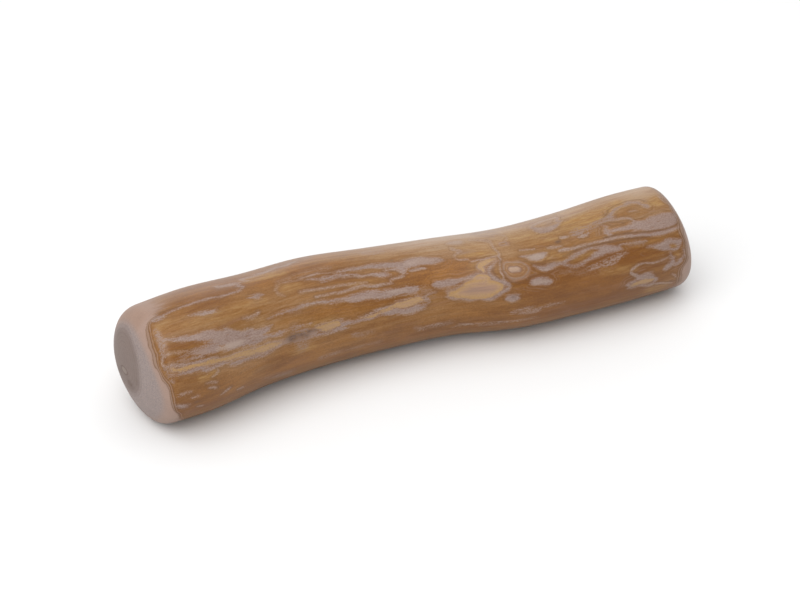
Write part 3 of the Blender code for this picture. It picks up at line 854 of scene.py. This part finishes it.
def end_fields(x, around, share, arc, points):
    """Fields of the two ends: past and inner are mm past the outer layers' edge and past the second
    line, and crisp is how crisp those two are. The others are those of the cut faces, and the scars."""
    fields = {name: np.full(len(x), value) for name, value in OUTSIDE.items()}
    fields["spot"] = scar_field(x, around)
    rng = np.random.default_rng(WOBBLE_SEED + 2)
    waver = 0.26 * waves(points, (40.0, 4.5, 4.5), rng)
    inner_waver = 0.12 * waves(points, (40.0, 3.0, 3.0), rng)
    for side, face in CUT_FACES.items():
        here = side * x > END_FROM
        turn = around[here]
        edge, gap, crisp = (round_curve(table[side], EDGE_BLUR)(turn)
                            for table in (EDGES, EDGE_GAPS, EDGE_CRISPNESS))
        past = side * (arc[here] - arc_place(edge)) + waver[here]
        fields["past"][here] = past
        fields["inner"][here] = past - gap + inner_waver[here]
        fields["crisp"][here] = crisp
        on_face, spot = face_fields(face, turn, through_stations(x[here], RADIUS) * share[here])
        for name, values in on_face.items():
            fields[name][here] = np.where(share[here] > FACE_SHARE, OUTSIDE[name], values)
        fields["spot"][here] = np.maximum(fields["spot"][here], spot)
    return fields


def figure_fields(x, around, share, arc, points):
    """Every field of the figure, by name."""
    made_up = made_up_marks(np.random.default_rng(RANDOM_SEED))
    rng = np.random.default_rng(RANDOM_SEED + 1)
    more_tints = made_up_tints(rng)
    darks = DARKS + made_up_darks(made_up, rng)
    fields = worn_fields(points, made_up + PATCHES + [("line", stroke) for stroke in LINES])
    fields.update(end_fields(x, around, share, arc, points))
    for kind, feather in TINT_FEATHERS.items():
        fields[kind] = soft_field(points, TINTS[kind] + more_tints[kind], feather)
    zones = {kind: zone_field(x, around, places) for kind, places in ZONES.items()}
    # The tone zones hold painted sheen and painted shade; the pale zones are painted sheen.
    fields["tone"] = TONE_SHARE * fields["tone"] + zones["tone"]
    fields["warm"] = zones["warm"]
    fields["pale_and_sheen"] = zones["pale_and_sheen"]
    fields["bold"] = 1 - np.clip(zones["faint"], 0, 1)
    fields["rough"] = roughness_field(x)
    fields["layers"] = layers_field(x)
    fields["knot"] = knot_field(x, around, points)
    fields["dark"] = dark_field(points, darks)
    return fields


def skin_grid():
    """(x, around, share, arc place) of the skin's points: ring by ring, then the two tips."""
    rings, turns = ring_places(), ring_turns()
    x, share, arc = np.repeat(rings, len(turns), axis=0).T
    tip_arcs = [side * (HALF - depth + PROFILES[side][2][-1]) for side, (depth, _) in DOMES.items()]
    return (np.concatenate([x, [-HALF, HALF]]), np.concatenate([np.tile(turns, len(rings)), [0, 0]]),
            np.concatenate([share, [0, 0]]), np.concatenate([arc, tip_arcs]))


def skin_faces(count, points_round):
    """Quads between the rings, and a fan of triangles at each tip."""
    first = np.arange(count - 1)[:, None] * points_round
    here = np.arange(points_round)
    after = (here + 1) % points_round
    quads = np.stack([first + here, first + after, first + points_round + after,
                      first + points_round + here], axis=-1).reshape(-1, 4)
    tip = np.full(points_round, count * points_round)
    last = (count - 1) * points_round
    left = np.stack([tip, after, here], axis=-1)
    right = np.stack([tip + 1, last + here, last + after], axis=-1)
    return quads.tolist() + left.tolist() + right.tolist()


def skin_mesh():
    """The fine skin, with every field of the figure as an attribute of its points."""
    x, around, share, arc = skin_grid()
    points = surface(x, around, share)
    fields = figure_fields(x, around, share, arc, points)
    angle = np.radians(around)
    radius = through_stations(x, RADIUS) * share
    grain = np.stack([x, -radius * np.sin(angle), radius * np.cos(angle)], axis=-1)

    low, high = np.array(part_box(NODE))
    middle = (points.min(axis=0) + points.max(axis=0)) / 2 * MM
    points = points * MM
    points[:, :2] += ((low + high) / 2 - middle)[:2]

    points_round = len(ring_turns())
    mesh = bpy.data.meshes.new("stick_skin")
    mesh.from_pydata(points.tolist(), [], skin_faces(len(x) // points_round, points_round))
    for name, values in fields.items():
        attribute = mesh.attributes.new(name, "FLOAT", "POINT")
        attribute.data.foreach_set("value", values.astype(np.float32))
    attribute = mesh.attributes.new("grain", "FLOAT_VECTOR", "POINT")
    attribute.data.foreach_set("vector", grain.astype(np.float32).ravel())
    mesh.shade_smooth()
    mesh.update()
    return mesh


def rgb(red, green, blue):
    """A colour given as it looks on screen, 0 to 255, in the linear values that shaders take."""
    channels = np.array([red, green, blue]) / 255
    linear = np.where(channels <= 0.04045, channels / 12.92, ((channels + 0.055) / 1.055) ** 2.4)
    return (*linear.tolist(), 1.0)


BROWN_DEEP = rgb(109, 63, 5)
BROWN_DARK = rgb(119, 75, 22)
BROWN = rgb(128, 87, 41)
OCHRE = rgb(133, 96, 56)
GOLD = rgb(145, 111, 75)
PALE_GOLD = rgb(152, 122, 90)
RUSSET = rgb(122, 83, 56)
AMBER = rgb(141, 98, 46)
ORANGE = rgb(142, 93, 30)
GOLDEN = rgb(158, 124, 72)
GREY = rgb(139, 118, 109)
GREY_SHADE = rgb(129, 105, 93)
# Cream: the colour of painted highlights and sheen, and of pale flecks on the cut faces.
CREAM_AND_HIGHLIGHT = rgb(153, 133, 121)
FLECK = rgb(146, 125, 114)
LINE_GREY = rgb(138, 113, 98)
TAN_EDGE = rgb(155, 120, 74)
TAN = rgb(156, 124, 88)
TAN_PINK = rgb(146, 115, 96)
DARK_LINE = rgb(94, 62, 36)
KNOT_PALE = rgb(163, 136, 116)
MAUVE = rgb(132, 106, 90)
EDGE_BAND = rgb(136, 108, 89)
PINK_WOOD = rgb(149, 124, 111)
SAPWOOD = rgb(139, 124, 119)
SAP_SHADE = rgb(127, 113, 109)
HEARTWOOD = rgb(110, 93, 85)
PITH = rgb(124, 110, 100)
SPOT = rgb(84, 62, 50)

# The outer brown by tone, the tan layer from its edge inwards, and a knot's rings from its core out.
BROWN_STOPS = [(0.13, BROWN_DEEP), (0.34, BROWN_DARK), (0.50, BROWN), (0.64, OCHRE), (0.82, GOLD),
               (0.97, PALE_GOLD)]
TAN_STOPS = [(0.05, TAN_EDGE), (0.30, TAN), (0.75, TAN_PINK)]
KNOT_STOPS = [(0.13, KNOT_PALE), (0.21, MAUVE), (0.25, RUSSET), (0.32, GOLD), (0.39, RUSSET),
              (0.45, OCHRE), (0.53, LINE_GREY), (0.60, MAUVE), (0.66, TAN_PINK), (0.74, RUSSET),
              (0.84, BROWN)]
# Lines round the worn places: mm outside their edge, colour and strength.
LAYER_LINES = [(-0.80, DARK_LINE, 0.50), (-1.30, GREY_SHADE, 0.45), (-1.80, DARK_LINE, 0.35),
               (-2.30, GREY_SHADE, 0.25)]
# Lines outside the outer layers' edge at each end: mm from it, half width, colour and strength.
OUTER_LINES = [(-0.55, 0.30, LINE_GREY, 0.75), (-1.0, 0.25, DARK_LINE, 0.55)]
# The shader's noises: features for each mm along the stick and across it, detail and roughness.
NOISES = {
    "streak": (0.07, 0.9, 4.0, 0.6),
    "fibre": (0.35, 2.6, 3.0, 0.6),
    "fray": (0.17, 1.7, 4.0, 0.6),
    "speck": (1.9, 3.6, 2.0, 0.6),
    "broad": (0.04, 0.16, 2.0, 0.5),
    "patchy": (0.09, 0.3, 2.0, 0.5),
    "hue": (0.06, 0.42, 3.0, 0.6),
}
# How much each noise moves the outer brown's tone, and the tone that it starts from.
TONE_NOISES = {"streak": 0.85, "fibre": 0.45, "speck": 0.30, "broad": 0.50}
TONE_MIDDLE = 0.49
# The fine grain in the bump: its height in metres and its strength.
BUMP_HEIGHT, BUMP_STRENGTH = 0.0002, 0.25


class Nodes:
    """A short way to write a material's node tree."""

    def __init__(self, name):
        self.material = bpy.data.materials.new(name)
        self.material.use_nodes = True
        self.tree = self.material.node_tree
        self.shader = self.tree.nodes["Principled BSDF"]

    def put(self, socket, value):
        """Links a socket's value in, or sets a plain one."""
        if isinstance(value, bpy.types.NodeSocket):
            self.tree.links.new(value, socket)
        else:
            socket.default_value = value

    def settings(self, node, values):
        """Puts values in a node's inputs, by name."""
        for name, value in values.items():
            self.put(node.inputs[name], value)

    def new(self, kind, **settings):
        made = self.tree.nodes.new(kind)
        for name, value in settings.items():
            setattr(made, name, value)
        return made

    def field(self, name, output="Fac"):
        made = self.new("ShaderNodeAttribute", attribute_type="GEOMETRY", attribute_name=name)
        return made.outputs[output]

    def math(self, operation, *values):
        made = self.new("ShaderNodeMath", operation=operation)
        for socket, value in zip(made.inputs, values):
            self.put(socket, value)
        return made.outputs[0]

    def add(self, total, *others):
        for other in others:
            total = self.math("ADD", total, other)
        return total

    def times(self, product, *others):
        for other in others:
            product = self.math("MULTIPLY", product, other)
        return product

    def minus(self, first, second):
        return self.math("SUBTRACT", first, second)

    def noise(self, vector, scale, detail=2.0, roughness=0.5):
        scaled = self.new("ShaderNodeVectorMath", operation="MULTIPLY")
        self.put(scaled.inputs[0], vector)
        self.put(scaled.inputs[1], scale)
        made = self.new("ShaderNodeTexNoise")
        self.settings(made, {"Vector": scaled.outputs[0], "Scale": 1.0, "Detail": detail,
                             "Roughness": roughness})
        return made.outputs["Fac"]

    def centred(self, noise, strength):
        """A noise moved to lie about 0, times a strength."""
        return self.times(self.minus(noise, 0.5), strength)

    def step(self, value, low, high, bottom=0.0, top=1.0):
        """A smooth step of the value, from low to high."""
        made = self.new("ShaderNodeMapRange", interpolation_type="SMOOTHSTEP")
        for socket, setting in zip(made.inputs, (value, low, high, bottom, top)):
            self.put(socket, setting)
        return made.outputs[0]

    def line(self, value, at, half_width):
        """1 where the value is at a level, falling to 0 half_width away from it."""
        return self.step(self.math("ABSOLUTE", self.minus(value, at)), half_width, 0.0)

    def mix(self, amount, first, second, blend="MIX"):
        made = self.new("ShaderNodeMix", data_type="RGBA", blend_type=blend, clamp_factor=True)
        self.put(made.inputs[0], amount)
        self.put(made.inputs[6], first)
        self.put(made.inputs[7], second)
        return made.outputs[2]

    def ramp(self, value, stops):
        made = self.new("ShaderNodeValToRGB")
        elements = made.color_ramp.elements
        while len(elements) < len(stops):
            elements.new(0.5)
        for element, (place, color) in zip(elements, stops):
            element.position = place
            element.color = color
        self.put(made.inputs[0], value)
        return made.outputs["Color"]


class WoodNodes(Nodes):
    """The wood's node tree: the noises and fields that its layers share, and its colour so far."""

    def __init__(self):
        super().__init__("coffee_wood_figure")
        grain = self.field("grain", "Vector")
        for name, (along, across, detail, roughness) in NOISES.items():
            setattr(self, name, self.noise(grain, (along, across, across), detail, roughness))
        self.bold, self.rough, self.crisp = (self.field(name) for name in ("bold", "rough", "crisp"))
        ragged = self.add(self.centred(self.fray, 1.7), self.centred(self.speck, 1.6))
        self.ragged = self.times(ragged, self.rough)
        self.blur = self.minus(1.0, self.crisp)
        streaky = self.add(self.centred(self.fray, 11.0), self.centred(self.broad, 14.0))
        streaky = self.times(streaky, self.blur)
        self.past, self.inner = (self.add(self.field(name), self.centred(self.fray, 0.5), streaky)
                                 for name in ("past", "inner"))
        self.color = None

    def paint(self, tint, *amounts):
        """Lays a tint over the colour so far, as strongly as the product of the amounts."""
        self.color = self.mix(self.times(*amounts), self.color, tint)


def outer_brown(n):
    """The outer brown, lighter and darker in lengthwise streaks, redder here and yellower there, with
    painted sheen paling the top edge and painted shade darkening the underside.
    """
    # The tone carries the painted sheen along the top edge and the painted shade along the underside.
    tone = n.add(n.field("tone"), TONE_MIDDLE)
    for name, strength in TONE_NOISES.items():
        tone = n.add(tone, n.centred(getattr(n, name), strength))
    n.color = n.ramp(tone, BROWN_STOPS)
    n.paint(RUSSET, n.step(n.hue, 0.53, 0.70, 0.0, 0.5))
    n.paint(AMBER, n.step(n.hue, 0.46, 0.30, 0.0, 0.4))
    mottle = n.add(n.times(n.patchy, 0.40), n.times(n.fray, 0.30), n.times(n.speck, 0.30))
    mottled = n.mix(n.step(mottle, 0.38, 0.60), BROWN_DEEP, ORANGE)
    n.paint(mottled, n.field("warm"), n.step(n.broad, 0.35, 0.6, 0.5, 1.0))
    # Painted sheen: the top edge paled towards cream, in streaks.
    n.paint(CREAM_AND_HIGHLIGHT, n.field("pale_and_sheen"), n.step(n.streak, 0.30, 0.62, 0.5, 1.0))
    golden = n.mix(n.step(n.fibre, 0.35, 0.65), AMBER, GOLDEN)
    n.paint(golden, n.field("gold"), n.step(n.streak, 0.36, 0.58, 0.35, 1.0))


def slanted_layers(n):
    """Layers cut through at a slant, as faint lines that follow the worn places' outlines."""
    nearby = n.add(n.field("worn"), n.centred(n.fray, 0.7))
    layers = n.times(n.field("layers"), n.step(n.patchy, 0.44, 0.60), n.bold)
    for at, tint, strength in LAYER_LINES:
        n.paint(tint, n.line(nearby, at, 0.32), layers, strength)


def thin_lines(n):
    """Thin lines, each with a dark rim, stronger here and weaker there."""
    thin = n.add(n.field("thin"), n.times(n.ragged, 0.55))
    presence = n.times(n.step(n.patchy, 0.34, 0.56, 0.6, 1.0), n.bold)
    n.paint(DARK_LINE, n.line(thin, -0.48, 0.26), presence, 0.5)
    soft = n.times(n.rough, 0.25)
    grey = n.mix(n.step(n.speck, 0.38, 0.62), MAUVE, FLECK)
    n.paint(grey, n.step(thin, n.minus(-0.26, soft), n.add(0.04, soft)), presence)


def worn_patches(n):
    """Patches worn through to the grey-mauve layer, with the darker fibres that are left in them, pale
    streaks, and highlights painted on as paler places.
    """
    worn = n.add(n.field("worn"), n.ragged)
    n.paint(DARK_LINE, n.line(worn, -0.60, 0.36), n.bold, 0.28)
    grey = n.mix(n.step(n.speck, 0.36, 0.64), GREY_SHADE, GREY)
    grey = n.mix(n.step(n.fibre, 0.44, 0.30, 0.0, 0.6), grey, RUSSET)
    # Paler towards cream in streaks, and where highlights are painted.
    pale_and_sheen = n.add(n.step(n.streak, 0.50, 0.72, 0.0, 0.45), n.field("painted_highlight"))
    n.paint(n.mix(pale_and_sheen, grey, CREAM_AND_HIGHLIGHT), n.step(worn, -0.60, 0.60), n.bold)


def tan_patches(n):
    """Patches worn through that layer too, golden at the edge and pinker inside."""
    depth = n.add(n.field("tan"), n.times(n.ragged, 0.7))
    tan = n.ramp(n.add(n.times(depth, 0.4), n.centred(n.streak, 0.8)), TAN_STOPS)
    tan = n.mix(n.step(n.speck, 0.55, 0.38, 0.0, 0.35), tan, TAN_PINK)
    n.paint(tan, n.step(depth, -0.40, 0.25))


def specks_and_knots(n):
    """Thin veils and specks of the grey-mauve layer, then the knots' rings and the dark lines."""
    haze = n.step(n.add(n.fray, n.centred(n.speck, 0.9)), 0.34, 0.66, 0.0, 2.0)
    n.paint(MAUVE, n.field("veil"), haze)
    fleck = n.field("fleck")
    specks = n.add(n.times(n.speck, 0.75), n.times(n.fray, 0.35), n.times(fleck, 0.14))
    n.paint(FLECK, n.step(specks, 0.56, 0.80), n.step(fleck, 0.0, 0.5, 0.0, 0.75))
    knot = n.add(n.field("knot"), n.centred(n.fray, 1.1))
    broken = n.step(n.fray, 0.36, 0.56, 0.45, 1.0)
    n.paint(n.ramp(n.times(knot, 0.2), KNOT_STOPS), n.step(knot, 4.6, 2.2, 0.0, 0.9), broken)
    n.paint(DARK_LINE, n.field("dark"))


def cut_ends(n):
    """The cut faces: lines round their edge, pinkish young wood, sapwood, heartwood and pith."""
    for at, half_width, tint, strength in OUTER_LINES:
        n.paint(tint, n.line(n.past, at, half_width), n.crisp, strength)
    low = n.minus(-0.15, n.times(n.blur, 3.5))
    high = n.add(0.15, n.times(n.blur, 2.0))
    edge = n.times(n.step(n.past, low, high), n.step(n.crisp, 0.0, 0.7, 0.72, 1.0))
    n.paint(EDGE_BAND, edge)
    n.paint(PINK_WOOD, n.step(n.inner, low, n.add(high, 0.75)), edge)
    face = n.mix(n.step(n.speck, 0.40, 0.62), SAP_SHADE, SAPWOOD)
    face = n.mix(n.step(n.fray, 0.50, 0.66, 0.0, 0.4), face, CREAM_AND_HIGHLIGHT)
    n.paint(face, n.step(n.add(n.field("sap"), n.centred(n.fray, 2.4)), -1.2, 1.8))
    heart = n.add(n.field("heart"), n.centred(n.fray, 1.6))
    n.paint(HEARTWOOD, n.step(heart, -1.6, 1.4, 0.0, 0.9))
    years = n.step(n.math("SINE", n.times(heart, 5.2)), 0.2, 1.0, 0.0, 0.22)
    n.paint(SPOT, years, n.step(heart, -3.0, -0.5))
    n.paint(SPOT, n.field("spot"), n.step(n.speck, 0.42, 0.54, 0.45, 1.3))
    pith = n.add(n.field("pith"), n.centred(n.speck, 0.3))
    n.paint(SPOT, n.line(pith, 1.0, 0.28), 0.8)
    n.paint(PITH, n.step(pith, 0.85, 0.6, 0.0, 0.7))
    n.paint(DARK_LINE, n.line(n.past, 0.0, 0.27), 0.90, n.crisp)
    n.paint(DARK_LINE, n.line(n.inner, 0.0, 0.22), 0.80, n.crisp)


def fine_grain(n):
    """A fine grain of light and dark over everything."""
    shade = n.add(n.centred(n.speck, 0.36), n.centred(n.fibre, 0.14), n.centred(n.patchy, 0.16), 1.0)
    grey = n.new("ShaderNodeCombineXYZ")
    for socket in grey.inputs:
        n.put(socket, shade)
    n.color = n.mix(1.0, n.color, grey.outputs[0], "MULTIPLY")


def wood_material():
    """Tumbled coffee wood: the outer brown, the layers worn through to, and the two cut faces."""
    n = WoodNodes()
    for layer in (outer_brown, slanted_layers, thin_lines, worn_patches, tan_patches,
                  specks_and_knots, cut_ends, fine_grain):
        layer(n)
    relief = n.add(n.times(n.fibre, 0.6), n.times(n.streak, 0.9), n.times(n.speck, 0.25))
    bump = n.new("ShaderNodeBump")
    n.settings(bump, {"Strength": BUMP_STRENGTH, "Distance": BUMP_HEIGHT, "Height": relief})
    gloss = n.add(n.step(n.inner, -3.5, 1.0, 0.37, 0.54), n.centred(n.fibre, 0.16))
    n.settings(n.shader, {"Base Color": n.color, "Roughness": gloss, "Specular IOR Level": 0.42,
                          "Normal": bump.outputs[0]})
    return n.material


def add_object(name, data):
    """A new object in the scene."""
    made = bpy.data.objects.new(name, data)
    bpy.context.scene.collection.objects.link(made)
    return made


def make_stick():
    """The stick's skin, in place of its plain solid."""
    mesh = skin_mesh()
    mesh.materials.append(wood_material())
    skin = add_object("stick_skin", mesh)
    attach(skin, "root")
    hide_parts(NODE)


def make_floor():
    """A wide pale floor, just under the stick."""
    mesh = bpy.data.meshes.new("floor")
    half = FLOOR_SIZE / 2
    mesh.from_pydata([(-half, -half, 0), (half, -half, 0), (half, half, 0), (-half, half, 0)], [],
                     [(0, 1, 2, 3)])
    n = Nodes("pale_floor")
    mottle = n.noise(n.new("ShaderNodeTexCoord").outputs["Object"], (3.0, 3.0, 3.0))
    darker, lighter = ((grey, grey, grey, 1.0) for grey in FLOOR_GREYS)
    n.settings(n.shader, {"Base Color": n.mix(mottle, darker, lighter), "Roughness": 0.9,
                          "Specular IOR Level": 0.1})
    mesh.materials.append(n.material)
    floor = add_object("floor", mesh)
    floor.location.z = -FLOOR_DROP


def aim(thing, place, target):
    """Places a thing and turns it to look at a target."""
    thing.location = place
    thing.rotation_euler = (Vector(target) - Vector(place)).to_track_quat("-Z", "Y").to_euler()


def make_lights():
    """The softboxes and a plain white world."""
    for name, place, width, height, power in LIGHTS:
        data = bpy.data.lights.new(name, "AREA")
        data.shape = "RECTANGLE"
        data.size, data.size_y = width, height
        data.energy = power
        aim(add_object(name, data), place, (0.0, 0.0, 0.0))
    world = bpy.data.worlds.new("studio")
    world.use_nodes = True
    background = world.node_tree.nodes["Background"]
    background.inputs["Color"].default_value = (1.0, 1.0, 1.0, 1.0)
    background.inputs["Strength"].default_value = WORLD_STRENGTH
    bpy.context.scene.world = world
    bpy.context.scene.view_settings.view_transform = "Standard"


def make_camera():
    """The photograph's view."""
    azimuth, elevation = math.radians(VIEW_AZIMUTH), math.radians(VIEW_ELEVATION)
    back = (math.sin(azimuth) * math.cos(elevation), -math.cos(azimuth) * math.cos(elevation),
            math.sin(elevation))
    place = tuple(a + VIEW_DISTANCE * b for a, b in zip(VIEW_AIM, back))
    data = bpy.data.cameras.new("camera")
    data.lens = LENS
    data.sensor_width = SENSOR
    camera = add_object("camera", data)
    aim(camera, place, VIEW_AIM)
    bpy.context.scene.camera = camera


make_camera()
make_stick()
make_floor()
make_lights()
